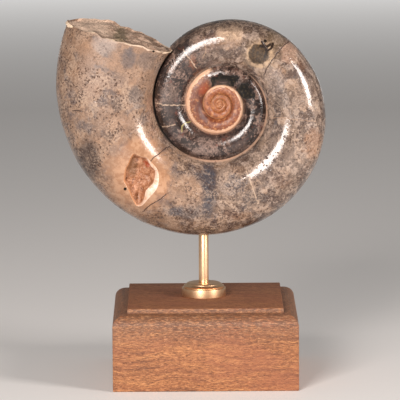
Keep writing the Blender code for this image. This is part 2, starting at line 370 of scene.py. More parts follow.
bm = bmesh.new()
bmesh.ops.create_grid(bm, x_segments=1, y_segments=1, size=FLOOR_HALF_SIDE)
bmesh.ops.translate(bm, vec=(0, 0, -FLOOR_GAP), verts=bm.verts)
floor = in_scene("floor", new_mesh("floor", bm))
floor_finish, shader = new_finish("pale floor")
plug(shader, {"Base Color": (0.86, 0.85, 0.84, 1), "Roughness": 0.7})
floor.data.materials.append(floor_finish)

# %% [markdown]
# ## Wooden base: shape
#
# The base is one block, moulded along its top edges: the side goes up, rolls over a quarter round
# and stops against a thin raised square. A cube gives the block. Insetting its top face again and
# again, each time a little further in and a little higher, follows the quarter round, and a last
# extrusion lifts the square. Fine bevels take the razor edge off, as sandpaper does.

# %% Wooden base
BASE_SIDE = 80 * MM
BASE_FACE = 28 * MM
ROUND_WIDTH = 6.4 * MM
ROUND_HEIGHT = 5 * MM
RAISED_TOP = 2 * MM
BASE_TOP = BASE_FACE + ROUND_HEIGHT + RAISED_TOP
ROUND_STEPS = 14
SANDED_EDGE = 0.35 * MM
ROD_X = -0.5 * MM
ROD_RADIUS = 2.15 * MM
ROD_IN_BASE = 15 * MM
ROUND_SIDES = 96


def round_bar(radius, bottom, top):
    bm = bmesh.new()
    sides = {"segments": ROUND_SIDES, "radius1": radius, "radius2": radius}
    bmesh.ops.create_cone(bm, cap_ends=True, depth=top - bottom, **sides)
    bmesh.ops.translate(bm, vec=(ROD_X, 0, (bottom + top) / 2), verts=bm.verts)
    return bm


def base_block():
    bm = bmesh.new()
    bmesh.ops.create_cube(bm, size=1)
    bmesh.ops.scale(bm, vec=(BASE_SIDE, BASE_SIDE, BASE_FACE), verts=bm.verts)
    bmesh.ops.translate(bm, vec=(0, 0, BASE_FACE / 2), verts=bm.verts)
    upright = [edge for edge in bm.edges if abs(edge.verts[0].co.z - edge.verts[1].co.z) > MM]
    underneath = [edge for edge in bm.edges if edge.verts[0].co.z + edge.verts[1].co.z < MM]
    top = [max(bm.faces, key=lambda face: face.calc_center_median().z)]
    angles = [pi / 2 * number / ROUND_STEPS for number in range(ROUND_STEPS + 1)]
    for before, after in zip(angles, angles[1:]):
        bmesh.ops.inset_region(
            bm,
            faces=top,
            use_even_offset=True,
            thickness=ROUND_WIDTH * (cos(before) - cos(after)),
            depth=ROUND_HEIGHT * (sin(after) - sin(before)),
        )
    raised = bmesh.ops.extrude_discrete_faces(bm, faces=top)["faces"][0]
    bmesh.ops.translate(bm, vec=(0, 0, RAISED_TOP), verts=raised.verts)
    soften(bm, upright + underneath + list(raised.edges), SANDED_EDGE, 3)
    return cut_bmesh(bm, round_bar(ROD_RADIUS, BASE_TOP - ROD_IN_BASE, BASE_TOP + MM))


# %% [markdown]
# ## Wooden base: finish
#
# The wood is a fine reddish-brown hardwood with the grain running from left to right. Solid wood is
# a solid pattern: noise is stretched many times along the grain, so the long faces show streaks and
# the end faces show dots. Broad soft bands are the year rings, short dark dashes are the open
# pores, and a slow change of tone runs over the whole block. The oil leaves a soft low shine.

# %% Oiled wood
GRAIN_STRETCH = 22
SWAY, SWAY_SIZE = 13, 40
DARK_WOOD = (98, 58, 38)


def oiled_wood():
    finish, shader = new_finish("oiled wood")
    place = millimetres(shader)
    sway = (cloud(place, SWAY_SIZE, 2) - 0.5) * SWAY
    swaying = vector("ADD", place, add("CombineXYZ", {"Z": sway}))
    bands = cloud(stretched(swaying, GRAIN_STRETCH), 1.5, 6, 0.65)
    streaks = cloud(stretched(swaying, 9), 0.42, 5, 0.7)
    tone = cloud(stretched(place, 2), 16, 3)
    pore = step(cloud(stretched(place, 6), 0.3, 2), 0.63, 0.72)
    mottle = cloud(stretched(place, 3), 0.8, 6, 0.75)
    specks = cloud(stretched(place, 5), 0.4, 5, 0.8)
    height = axis(place, "Z")
    upper = step(height, 18, 30) * step(height, 34.7, 34.9, 1, 0)
    top = step(height, 34.6, 34.9)
    colour = paint(
        ramp(bands, (0.3, DARK_WOOD), (0.46, (152, 96, 58)), (0.66, (186, 128, 80))),
        (step(streaks, 0.5, 0.58, 0, 0.65), DARK_WOOD),
        (step(specks, 0.48, 0.4, 0, 0.5), (210, 152, 108)),
        (step(specks, 0.52, 0.57, 0, 0.75), (98, 60, 40)),
        (step(tone, 0.45, 0.7, 0, 0.5), (150, 92, 66)),
        (step(mottle, 0.5, 0.66, 0, 0.35), (104, 66, 48)),
        (upper * step(mottle, 0.4, 0.54, 0.1, 0.8), (96, 66, 50)),
        (upper * step(specks, 0.47, 0.41, 0, 0.5), (196, 150, 114)),
        (pore * 0.65, (70, 42, 32)),
        # painted shade: the top face is tinted darker and redder than the lit front
        (top * 0.4, (100, 54, 32)),
    )
    rough = step(streaks, 0.3, 0.7, 0.5, 0.62) + top * 0.25
    relief = bump(streaks * 0.06 - pore * 0.08)
    plug(shader, {"Base Color": colour, "Roughness": rough, "Normal": relief})
    return finish


new_piece("base_block", base_block(), [oiled_wood()], "wooden_base", sharp_angle=30)

# %% [markdown]
# ## Brass rod and collar
#
# Both are turned on a lathe. The rod is a plain bar with a softened rim at each end. The collar is
# a profile spun once round the rod: a low upright band, a fine groove, a slope in and a rounded
# shoulder. `spin` does what the lathe does, and with `use_merge` it closes the ring.

# %% Rod and collar
ROD_TOP = 71 * MM
ROD_GAP = 0.3 * MM  # under the rod's foot
COLLAR_RADIUS = 9.6 * MM
COLLAR_HOLE = ROD_RADIUS + 0.05 * MM
COLLAR_BAND = 3.8 * MM
COLLAR_GROOVE = 0.35 * MM
COLLAR_GROOVE_FOOT = COLLAR_RADIUS - 3.2 * COLLAR_GROOVE
COLLAR_SHOULDER_RADIUS = 7.7 * MM
COLLAR_SHOULDER_HEIGHT = 5.3 * MM
COLLAR_TOP_RADIUS = 5.6 * MM
COLLAR_HEIGHT = 6 * MM
SHOULDER_STEPS = 8
BAND_STEPS = 4
EDGE_SOFTNESS = 0.22 * MM


def brass_bar():
    bm = round_bar(ROD_RADIUS, BASE_TOP - ROD_IN_BASE + ROD_GAP, ROD_TOP)
    rims = [edge for edge in bm.edges if edge.verts[0].co.z == edge.verts[1].co.z]
    soften(bm, rims, EDGE_SOFTNESS, 2)
    return bm


def turned_collar():
    outline = [(COLLAR_HOLE, 0), (COLLAR_HOLE, COLLAR_HEIGHT)]
    for number in range(SHOULDER_STEPS + 1):
        angle = pi / 2 * number / SHOULDER_STEPS
        out = COLLAR_TOP_RADIUS + (COLLAR_SHOULDER_RADIUS - COLLAR_TOP_RADIUS) * sin(angle)
        up = COLLAR_SHOULDER_HEIGHT + (COLLAR_HEIGHT - COLLAR_SHOULDER_HEIGHT) * cos(angle)
        outline.append((out, up))
    outline.append((COLLAR_RADIUS - 2 * COLLAR_GROOVE, COLLAR_BAND + 2 * COLLAR_GROOVE))
    outline.append((COLLAR_GROOVE_FOOT, COLLAR_BAND + COLLAR_GROOVE))
    outline.append((COLLAR_GROOVE_FOOT, COLLAR_BAND))
    for number in range(BAND_STEPS + 1):
        angle = pi / 2 * number / BAND_STEPS
        out = COLLAR_RADIUS - COLLAR_GROOVE * (1 - sin(angle))
        outline.append((out, COLLAR_BAND - COLLAR_GROOVE * (1 - cos(angle))))
    outline += [(COLLAR_RADIUS, EDGE_SOFTNESS), (COLLAR_RADIUS - EDGE_SOFTNESS, 0)]
    bm = bmesh.new()
    corners = [bm.verts.new((ROD_X + out, 0, BASE_TOP + up)) for out, up in outline]
    for pair in zip(corners, corners[1:] + corners[:1]):
        bm.edges.new(pair)
    bmesh.ops.spin(
        bm,
        geom=bm.verts[:] + bm.edges[:],
        cent=(ROD_X, 0, 0),
        axis=(0, 0, 1),
        angle=2 * pi,
        steps=ROUND_SIDES,
        use_merge=True,
    )
    bmesh.ops.remove_doubles(bm, verts=bm.verts, dist=0.001 * MM)
    bmesh.ops.recalc_face_normals(bm, faces=bm.faces)
    return bm


# %% [markdown]
# ## Brass finish
#
# Satin brass is a metal whose reflections are spread a little by very fine turning lines. The lines
# run round the rod, so the noise that makes them is stretched sideways and changes with the height.
# A faint broad cloud keeps the tone from being dead even, as old brass never is.

# %% Satin brass
def satin_brass():
    finish, shader = new_finish("satin brass")
    place = millimetres(shader)
    lines = cloud(stretched(place, 30, 30), 0.3, 2)
    haze = cloud(place, 5, 3)
    plug(shader, {
        "Base Color": mix(step(haze, 0.35, 0.7), (246, 208, 168), (232, 190, 148)),
        "Metallic": 1,
        "Roughness": step(haze, 0.3, 0.7, 0.32, 0.4),
        "Normal": bump(lines * 0.004),
    })
    return finish


brass = satin_brass()
new_piece("rod", brass_bar(), [brass], "brass_rod", sharp_angle=30)
new_piece("collar", turned_collar(), [brass], "brass_collar", sharp_angle=30)

# %% [markdown]
# ## How the shell grows
#
# An ammonite adds to the mouth of its shell, and each addition is the last one turned a little and
# made a little larger. So every place has two numbers: how far round it is, counted here in turns
# with 0 at the outer corner of the mouth, and how far across the whorl it is. The outer line of the
# shell, the venter, is a spiral whose radius grows by a fixed share in each turn. Each whorl's
# section is a rounded oval, and its flank starts at the seam, where it meets the whorl before.

# %% Growth law
SHELL_AXIS = Vector((6.8, 0, 119.2)) * MM
MOUTH_RADIUS = 75.6 * MM
MOUTH_ANGLE = radians(150.8)
LAST_GROWTH = log(2.36)
EARLY_GROWTH = log(1.99)
IMPRESSED = 0.92  # a whorl's inner side, as a part of the radius of the whorl before
HALF_WIDTH = 0.26
ROUNDNESS = 2.15  # 2 is an ellipse, more has flatter flanks
SEAM_HALVINGS = 40


def venter(turns):
    """Radius of the shell's outer line, from the growth axis."""
    return MOUTH_RADIUS * exp(LAST_GROWTH * max(turns, -1) + EARLY_GROWTH * min(turns + 1, 0))


def section_sizes(turns):
    """Radius of the middle of a whorl's section, its half height and its half thickness."""
    outer = venter(turns)
    inner = IMPRESSED * venter(turns - 1)
    return (outer + inner) / 2, (outer - inner) / 2, HALF_WIDTH * outer


def section_point(turns, lobe):
    """Radius and half thickness at an angle round the section, 0 at the venter, pi inside."""
    middle, half_height, half_width = section_sizes(turns)
    power = 2 / ROUNDNESS
    across = abs(cos(lobe)) ** power * (1 if lobe < pi / 2 else -1)
    return middle + half_height * across, half_width * sin(lobe) ** power


def half_thickness(turns, radius):
    middle, half_height, half_width = section_sizes(turns)
    across = min(1, abs(radius - middle) / half_height)
    return half_width * (1 - across**ROUNDNESS) ** (1 / ROUNDNESS)


def seam_lobe(turns):
    """Where a whorl's flank meets the whorl before, found by halving."""
    clear, sunk = pi / 2, pi - 0.001
    for _ in range(SEAM_HALVINGS):
        middle = (clear + sunk) / 2
        radius, width = section_point(turns, middle)
        if width > half_thickness(turns - 1, radius):
            clear = middle
        else:
            sunk = middle
    return clear


def cover_lobe(turns):
    """Where the next whorl's seam lies on this whorl."""
    radius = section_point(turns + 1, seam_lobe(turns + 1))[0]
    middle, half_height, _ = section_sizes(turns)
    return acos(((radius - middle) / half_height) ** (ROUNDNESS / 2))


for turn in range(0, -6, -1):
    print("turn", turn, "venter at", round(venter(turn) / MM, 1), "mm")

# %% [markdown]
# ## Relief in the flanks
#
# Three things break the smooth growth. Near the mouth the growth lines slant, because the shell is
# broken off along a line that runs back to the seam. A deep line runs beside the last whorl, from
# the left up to the mouth. And on the front a piece of the flank beside the innermost whorls is
# missing, which leaves two dark pockets.

# %% Slant, seam groove and pockets
MOUTH_END = 20.8 / 360
MOUTH_SLANT_START = -0.17
MOUTH_CURVE = 0.6
MOUTH_TILT = 0.005
RIM_CHIPS = 0.006  # turns, by which the broken rim wanders
SEAM_GROOVE = 1.7 * MM
SEAM_GROOVE_START = -0.17
POCKETS = (  # start and end in turns, lowest and highest part of the flank
    (-1.885, -1.735, 0.1, 0.6),
    (-1.705, -1.625, 0.12, 0.62),
)
POCKET_DEPTH = 1.6 * MM
POCKET_END, POCKET_SIDE = 0.03, 0.15  # widths of its slopes, in turns and in parts of the flank


def smooth(value, low, high):
    step_up = min(1, max(0, (value - low) / (high - low)))
    return step_up * step_up * (3 - 2 * step_up)


def plateau(value, low, high, slope):
    return smooth(value, low, low + slope) * (1 - smooth(value, high - slope, high))


def lag(turns, radius, side):
    """How far growth falls behind there, which slants, tilts and chips the mouth."""
    seam = section_point(turns, seam_lobe(turns))[0]
    outward = min(1, max(0, (radius - seam) / (venter(turns) - seam)))
    slant = MOUTH_END * outward**MOUTH_CURVE - side * MOUTH_TILT * 4 * outward * (1 - outward)
    uneven = noise.noise(Vector((9 * outward, 3 * side, 0)))
    chips = RIM_CHIPS * uneven * 4 * outward * (1 - outward)
    return (slant + chips) * smooth(turns, MOUTH_SLANT_START, MOUTH_END)


def relief(turns, part, side):
    """Depth below the smooth flank, part 0 at its seam and 1 at the next one."""
    if part == 0:
        return SEAM_GROOVE * smooth(turns, SEAM_GROOVE_START, 0)
    depth = 0
    for start, end, low, high in POCKETS:
        across = plateau(part, low, high, POCKET_SIDE)
        depth += POCKET_DEPTH * plateau(turns, start, end, POCKET_END) * across * (side < 0)
    return depth


def shell_place(turns, lobe, side, depth=0.0):
    """Point of the shell, side -1 at the front and 1 at the back."""
    radius, width = section_point(turns, lobe)
    grown = turns - lag(turns, radius, side)
    angle = MOUTH_ANGLE - 2 * pi * grown
    scale = venter(grown) / venter(turns)
    out = Vector((cos(angle), 0, sin(angle)))
    return SHELL_AXIS + out * radius * scale + Vector((0, side * (width * scale - depth), 0))


# %% [markdown]
# ## The coiled skin
#
# A tube swept along the spiral would run through itself where the whorls touch. Only the visible
# skin is made here: a flat ribbon of squares for each flank, as long as the whole growth and as
# wide as from one seam to the next. Every vertex of the ribbon then moves to its place in the
# growth, and a whorl's seam lands exactly on the whorl before, where the two are merged. A second,
# shorter ribbon closes the last whorl over its venter. The flat places are kept as a UV map named
# growth, so that the finish can follow the whorls.

# %% Ribbons rolled into a shell
RINGS_PER_TURN = 180
RINGS = 1010
FLANK_COLUMNS = 20
FLANK_SPREAD = 1.2  # more than 1 brings the columns closer together at the seam
OUTER_COLUMNS = 12
LAST_FREE_RING = RINGS - RINGS_PER_TURN
ring_angles = {}


def turns_at(ring):
    return MOUTH_END - (RINGS - ring) / RINGS_PER_TURN


def lobes_at(ring):
    """The ring's seam and cover angles, worked out once."""
    if ring not in ring_angles:
        ring_angles[ring] = seam_lobe(turns_at(ring)), cover_lobe(turns_at(ring))
    return ring_angles[ring]


def flank_place(ring, column, side):
    if column == FLANK_COLUMNS and ring + RINGS_PER_TURN <= RINGS:
        return flank_place(ring + RINGS_PER_TURN, 0, side)
    seam, cover = lobes_at(ring)
    part = (column / FLANK_COLUMNS) ** FLANK_SPREAD
    turns = turns_at(ring)
    return shell_place(turns, seam + (cover - seam) * part, side, relief(turns, part, side))


def outer_place(ring, column, side):
    if column == 0:
        return flank_place(ring, FLANK_COLUMNS, side)
    cover = lobes_at(ring)[1]
    return shell_place(turns_at(ring), cover * (1 - column / OUTER_COLUMNS), side)


def flat_grid(bm, length, width):
    """A grid of squares. Each vertex gets its step along and its step across."""
    made = bmesh.ops.create_grid(bm, x_segments=length, y_segments=width, size=1)["verts"]
    along = [round((vert.co.x + 1) / 2 * length) for vert in made]
    across = [round((vert.co.y + 1) / 2 * width) for vert in made]
    return dict(zip(made, zip(along, across)))


def ribbon(bm, growth, start, columns, across, place, side):
    """A flat grid whose vertices move to place(ring, column, side)."""
    steps = flat_grid(bm, RINGS - start, columns)
    for face in faces_at(steps):
        for loop in face.loops:
            number, column = steps[loop.vert]
            loop[growth].uv = turns_at(start + number), across + column / columns
    for vert, (number, column) in steps.items():
        vert.co = place(start + number, column, side)


bm = bmesh.new()
growth = bm.loops.layers.uv.new("growth")
for side in (-1, 1):
    ribbon(bm, growth, 0, FLANK_COLUMNS, 0, flank_place, side)
    ribbon(bm, growth, LAST_FREE_RING, OUTER_COLUMNS, 1, outer_place, side)
print(len(bm.verts), "vertices in four ribbons")

# %% [markdown]
# ## The broken mouth
#
# The mouth is not the animal's own opening but a break through rock, rough and never polished. It
# is one more grid, stretched from the front rim to the back rim. The rows follow the rim from the
# whorl before out to the corner. Once it is merged with the skin, its inner edges are subdivided,
# and the new vertices are pushed along the growth by fractal noise. Part of that noise is cut into
# steps, which gives the low ledges of a real break.

# %% Close the mouth with broken rock
ROCK = 1  # the second finish
MOUTH_CROSSINGS = 2 * OUTER_COLUMNS
MOUTH_ROWS = FLANK_COLUMNS + OUTER_COLUMNS
ROCK_RELIEF = 1.3 * MM
ROCK_SIZE = 8 * MM
LEDGES = 3


def rim_place(row, side):
    if row <= FLANK_COLUMNS:
        return flank_place(RINGS, row, side)
    return outer_place(RINGS, row - FLANK_COLUMNS, side)


def mouth_place(row, crossing):
    if row == 0:
        near = min(crossing, MOUTH_CROSSINGS - crossing)
        return outer_place(LAST_FREE_RING, near, -1 if crossing <= OUTER_COLUMNS else 1)
    return rim_place(row, -1).lerp(rim_place(row, 1), crossing / MOUTH_CROSSINGS)


steps = flat_grid(bm, MOUTH_ROWS, MOUTH_CROSSINGS)
for face in faces_at(steps):
    face.material_index = ROCK
    for loop in face.loops:
        loop[growth].uv = (loop.vert.co.xy + Vector((1, 1))) / 2
for vert, (row, crossing) in steps.items():
    vert.co = mouth_place(row, crossing)
bmesh.ops.remove_doubles(bm, verts=bm.verts, dist=0.001 * MM)

rock_edges = {edge for face in bm.faces if face.material_index == ROCK for edge in face.edges}
inner = [edge for edge in rock_edges if all(face.material_index for face in edge.link_faces)]
bmesh.ops.subdivide_edges(bm, edges=inner, cuts=1, use_grid_fill=True)
growing = Vector((sin(MOUTH_ANGLE), 0, -cos(MOUTH_ANGLE)))
for vert in bm.verts:
    if all(face.material_index for face in vert.link_faces):
        rough = noise.fractal(vert.co / ROCK_SIZE, 0.9, 2.1, 5)
        ledge = ceil(rough * LEDGES) / LEDGES
        vert.co += growing * ROCK_RELIEF * (0.5 * rough + 0.5 * ledge - 0.5)
print(len([face for face in bm.faces if face.material_index == ROCK]), "faces of rock")

# %% [markdown]
# ## The first whorls, and the polish
#
# The smallest whorl is a little over three millimetres across, and the hole inside it is filled
# with one face on each side, poked to a point. A polished stone is never as true as a formula, so
# every vertex of the skin then moves in by up to a third of a millimetre, more or less over patches
# of about a centimetre. It is what makes the streaks of light waver.

# %% Close the centre and add the waver of the polish
WAVER = 0.16 * MM
WAVER_SIZE = 11 * MM
WAVER_IN = 1.1  # keeps the waver inside the smooth skin
WAVER_FROM, WAVER_FULL = 5 * MM, 20 * MM  # distances from the middle of the shell

open_edges = [edge for edge in bm.edges if edge.is_boundary]
caps = bmesh.ops.holes_fill(bm, edges=open_edges, sides=0)["faces"]
bmesh.ops.poke(bm, faces=caps)
bmesh.ops.recalc_face_normals(bm, faces=bm.faces)
if bm.calc_volume(signed=True) < 0:
    bmesh.ops.reverse_faces(bm, faces=bm.faces)
bm.normal_update()
for vert in bm.verts:
    fade = smooth((vert.co - SHELL_AXIS).length, WAVER_FROM, WAVER_FULL)
    vert.co += vert.normal * WAVER * fade * (noise.noise(vert.co / WAVER_SIZE) - WAVER_IN)
print("open edges:", len([edge for edge in bm.edges if not edge.is_manifold]))

# %% [markdown]
# ## The edge of the hollow
#
# A hollow in the last whorl's side was once a gap in the rock, lined with calcite. Its edge is
# given by pairs of corners: one on the fossil's surface and one where the lining's pale lip ends
# inside. A search tree of the skin answers where the front lies at any X and Z, so that the lining
# can be flush with it. Both the cutter and the lining are built from rings of vertices, each
# extruded from the one before.

# %% Hollow outline and rings
HOLLOW_EDGE = (  # X and Z of the edge, then X and Z of the lip's inner side, in millimetres
    (-30.7, 100.5, -30.4, 99.8), (-27.8, 98.8, -27.7, 98.4), (-24.9, 98.3, -25.1, 98.0),
    (-23.5, 96.6, -24.1, 96.1), (-21.7, 94.9, -23.0, 94.2), (-20.2, 92.7, -21.2, 92.5),
    (-19.7, 90.1, -21.3, 90.1), (-19.8, 86.8, -22.0, 87.1), (-20.9, 84.1, -23.9, 85.2),
    (-23.1, 81.6, -25.5, 83.6), (-25.3, 79.1, -26.2, 79.9), (-26.7, 77.3, -27.2, 78.1),
    (-28.0, 76.5, -28.3, 77.2), (-29.9, 76.8, -29.4, 77.3), (-31.8, 80.6, -31.1, 80.5),
    (-33.3, 84.9, -32.7, 84.7), (-35.2, 87.7, -34.5, 87.9), (-35.0, 90.2, -34.3, 90.2),
    (-34.3, 93.6, -33.8, 93.4), (-33.2, 95.2, -32.8, 95.0), (-32.1, 98.2, -31.8, 97.7),
)
HOLLOW_SPLIT = 6  # points between two corners
SOFTENINGS = 3

surface = bvhtree.BVHTree.FromBMesh(bm)


def front_y(spot):
    """Y of the uncut shell's front at an X and Z."""
    return surface.ray_cast(Vector((spot.x, -0.1, spot.y)), Vector((0, 1, 0)))[0].y


def softened(corners):
    """Points between the corners, with the corners themselves rounded a little."""
    following = corners[1:] + corners[:1]
    points = [
        corner.lerp(after, number / HOLLOW_SPLIT)
        for corner, after in zip(corners, following)
        for number in range(HOLLOW_SPLIT)
    ]
    for _ in range(SOFTENINGS):
        around = zip(points[-1:] + points[:-1], points, points[1:] + points[:1])
        points = [(before + 2 * point + after) / 4 for before, point, after in around]
    return points


edge_points = softened([Vector(corner[:2]) * MM for corner in HOLLOW_EDGE])
lip_points = softened([Vector(corner[2:]) * MM for corner in HOLLOW_EDGE])
hollow_middle = sum(lip_points, Vector((0, 0))) / len(lip_points)


def place_ring(ring, spots, y_of):
    for vert, spot in zip(ring, spots):
        vert.co = spot.x, y_of(spot), spot.y
    return ring


def first_ring(bm, spots, y_of):
    ring = bmesh.ops.create_circle(bm, radius=1, segments=len(spots))["verts"]
    return place_ring(ring, spots, y_of)


def next_ring(bm, ring, spots, y_of):
    """Extrudes a ring of vertices once and places the new ring over the spots."""
    edges = [edge for edge in bm.edges if len(edge.link_faces) < 2 and set(edge.verts) <= set(ring)]
    made = bmesh.ops.extrude_edge_only(bm, edges=edges)["geom"]
    fresh = {part for part in made if isinstance(part, bmesh.types.BMVert)}
    after = [
        next(iter({edge.other_vert(vert) for edge in vert.link_edges} & fresh)) for vert in ring
    ]
    return place_ring(after, spots, y_of)


def shrunk(points, share):
    return [hollow_middle + (point - hollow_middle) * share for point in points]


print(len(edge_points), "points round the hollow")

# %% [markdown]
# ## One cut for every hole
#
# One cutter of separate closed shapes takes out the hollow, the small pits, a ragged pit in the
# mouth's rock and the hole for the rod in a single Boolean. The cutter has a growth map of its own,
# which tells the finish that the ragged pit is bare rock.

# %% Cut the skin
HOLLOW_FLOOR = -7.3 * MM
HOLLOW_NARROW = 0.6
HOLLOW_WALL = 1.2 * MM  # straight down from the edge, before it narrows
PITS = (  # X, Z and radius of each small hole in the front, in millimetres
    (-34.4, 84.4, 0.8), (26.6, 147.8, 0.8), (-21.6, 144.2, 0.6),
)
PIT_DEPTH = 1.6 * MM
PIT_NARROWS, PIT_WIDENS = 3, 1.4  # times, at its foot and in front of the surface
PIT_SIDES, HOLE_SIDES = 14, 48
MOUTH_PIT = Vector((-36, -16.5, 149.5)) * MM
MOUTH_PIT_RADIUS = 3 * MM
MOUTH_PIT_LUMPS = 1.8 * MM
MOUTH_PIT_UNEVEN = 0.25
CUTTER_FRONT = -30 * MM


def cone(bm, sides, low_radius, high_radius, length, centre, turned=0.0):
    made = bmesh.ops.create_cone(
        bm, cap_ends=True, segments=sides, radius1=low_radius, radius2=high_radius, depth=length
    )["verts"]
    bmesh.ops.rotate(bm, verts=made, cent=(0, 0, 0), matrix=Matrix.Rotation(turned, 3, "X"))
    bmesh.ops.translate(bm, verts=made, vec=centre)


def ragged_ball(bm, growth, radius, centre):
    """A ball of uneven radius, for a cut that is broken rock all over."""
    made = bmesh.ops.create_icosphere(bm, subdivisions=3, radius=radius)["verts"]
    for vert in made:
        vert.co *= 1 + MOUTH_PIT_UNEVEN * noise.noise(vert.co / MOUTH_PIT_LUMPS)
    bmesh.ops.translate(bm, vec=centre, verts=made)
    for face in faces_at(made):
        face.material_index = ROCK
        for loop in face.loops:
            loop[growth].uv = 0.5, 0.5


cutter = bmesh.new()
cutter_growth = cutter.loops.layers.uv.new("growth")
ring = first_ring(cutter, edge_points, lambda spot: CUTTER_FRONT)
ring = next_ring(cutter, ring, edge_points, lambda spot: front_y(spot) + HOLLOW_WALL)
next_ring(cutter, ring, shrunk(edge_points, HOLLOW_NARROW), lambda spot: HOLLOW_FLOOR)
bmesh.ops.holes_fill(cutter, edges=cutter.edges[:], sides=0)
for x, z, radius in PITS:
    centre = Vector((x, 0, z)) * MM
    centre.y = front_y(centre.xz)
    foot, brim = radius / PIT_NARROWS * MM, PIT_WIDENS * radius * MM
    cone(cutter, PIT_SIDES, foot, brim, 2 * PIT_DEPTH, centre, pi / 2)
hole_middle = (ROD_X, 0, (BASE_TOP + ROD_TOP) / 2)
cone(cutter, HOLE_SIDES, ROD_RADIUS, ROD_RADIUS, ROD_TOP - BASE_TOP, hole_middle)
ragged_ball(cutter, cutter_growth, MOUTH_PIT_RADIUS, MOUTH_PIT)
bmesh.ops.recalc_face_normals(cutter, faces=cutter.faces)
fossil_bm = cut_bmesh(bm, cutter)
print("fossil:", len(fossil_bm.faces), "faces")

# %% [markdown]
# ## Marks on the stone
#
# Cracks, veins and most stains are the fossil's own signature, so their places are written down as
# X and Z on the front. One pale oval is a painted highlight, and a few dark ones make the rims
# darker. A node group gives the distance from a straight segment, and the smallest of several
# such distances is the distance from a bent line. The place is first made to wander by noise,
# which turns straight lines into ragged ones and ovals into stains.

# %% Distances, ovals and crowds of flecks
CROWDING = 0.6


def segment_group():
    """A group whose output is how far the place is from a segment."""
    labels = ("Place", "Start", "Span")
    tree = bpy.data.node_groups.new("distance from a segment", "ShaderNodeTree")
    for label in labels:
        tree.interface.new_socket(label, in_out="INPUT", socket_type="NodeSocketVector")
    tree.interface.new_socket("Distance", in_out="OUTPUT", socket_type="NodeSocketFloat")
    given = tree.nodes.new("NodeGroupInput").outputs
    place, start, span = [Signal(given[label]) for label in labels]
    offset = vector("SUBTRACT", place, start)
    length = vector("DOT_PRODUCT", span, span, "Value")
    share = calc("DIVIDE", vector("DOT_PRODUCT", offset, span, "Value"), length, clamp=True)
    reach = add("VectorMath", {0: span, "Scale": share}, operation="SCALE")
    result = tree.nodes.new("NodeGroupOutput")
    plug(result, {"Distance": vector("DISTANCE", offset, reach, "Value")})
    return tree


SEGMENT = segment_group()


def line_distance(flat, lines):
    """Distance in millimetres from the nearest of some bent lines."""
    distances = []
    for line in lines:
        corners = [Vector((x, 0, z)) for x, z in line]
        for start, end in zip(corners, corners[1:]):
            sockets = {"Place": flat, "Start": start, "Span": end - start}
            distances.append(add("Group", sockets, node_tree=SEGMENT))
    return combine("MINIMUM", *distances)


def stain(flat, x, z, width, height, soft=0.5):
    """1 inside an oval of that full width and height, 0 outside it."""
    offset = vector("SUBTRACT", flat, (x, 0, z))
    shares = vector("DIVIDE", offset, (width / 2, 1, height / 2))
    return step(vector("LENGTH", shares, output="Value"), 1 - soft, 1 + soft, 1, 0)


def crowded(noisy, crowd, low, high, end):
    """Flecks of the noise, thick where the crowd is high and thin where it is low."""
    sway = (crowd - 0.5) * (CROWDING if high > low else -CROWDING)
    return step(noisy + sway, low, high, 0, end)


print("nodes in the segment group:", len(SEGMENT.nodes))

# %% [markdown]
# ## Colour along the growth
#
# The stone's colour follows the whorls. The innermost ones are orange-brown calcite, edged by a
# cream rim. The next whorl is nearly clear over dark rock, so it looks dark and deep. The last
# whorl turns from grey-brown to beige towards the mouth. The growth map gives the number of turns,
# and a colour ramp over it holds these tones. Its ends are made ragged by a little noise.

# %% Tones by turns, and where the marks are
TONES = (  # turns and colour
    (-5.60, (192, 126, 78)),
    (-3.00, (186, 112, 66)),
    (-2.60, (172, 102, 62)),
    (-2.10, (154, 88, 54)),
    (-1.90, (148, 94, 68)),
    (-1.86, (112, 94, 84)),
    (-1.50, (94, 78, 70)),
    (-0.98, (92, 76, 68)),
    (-0.86, (112, 94, 80)),
    (-0.75, (140, 124, 110)),
    (-0.60, (144, 130, 118)),
    (-0.45, (146, 132, 120)),
    (-0.32, (158, 135, 114)),
    (-0.18, (175, 146, 120)),
    (0.06, (184, 153, 125)),
)
FIRST_TURN, LAST_TURN = -5.6, 0.1
BLUE_GREY = (86, 95, 108)
CLEAR_LOSS = (0.59, 0.54, 0.54)  # light lost in the clear calcite
HALO = (  # X, Z, width, height and strength of the warm ovals round the hollow
    (-28.6, 90.0, 25, 31, 0.84),
    (-28.0, 102.5, 16, 9, 0.75),
    (-18.4, 87.0, 7, 15, 0.9),
    (-38.5, 93.0, 10, 18, 0.45),
)
CALM = ((-27.4, 90, 25, 30), (-38, 144, 36, 16))  # ovals with fewer flecks
SCUFFS = (-43.2, 147.5, 9, 11)
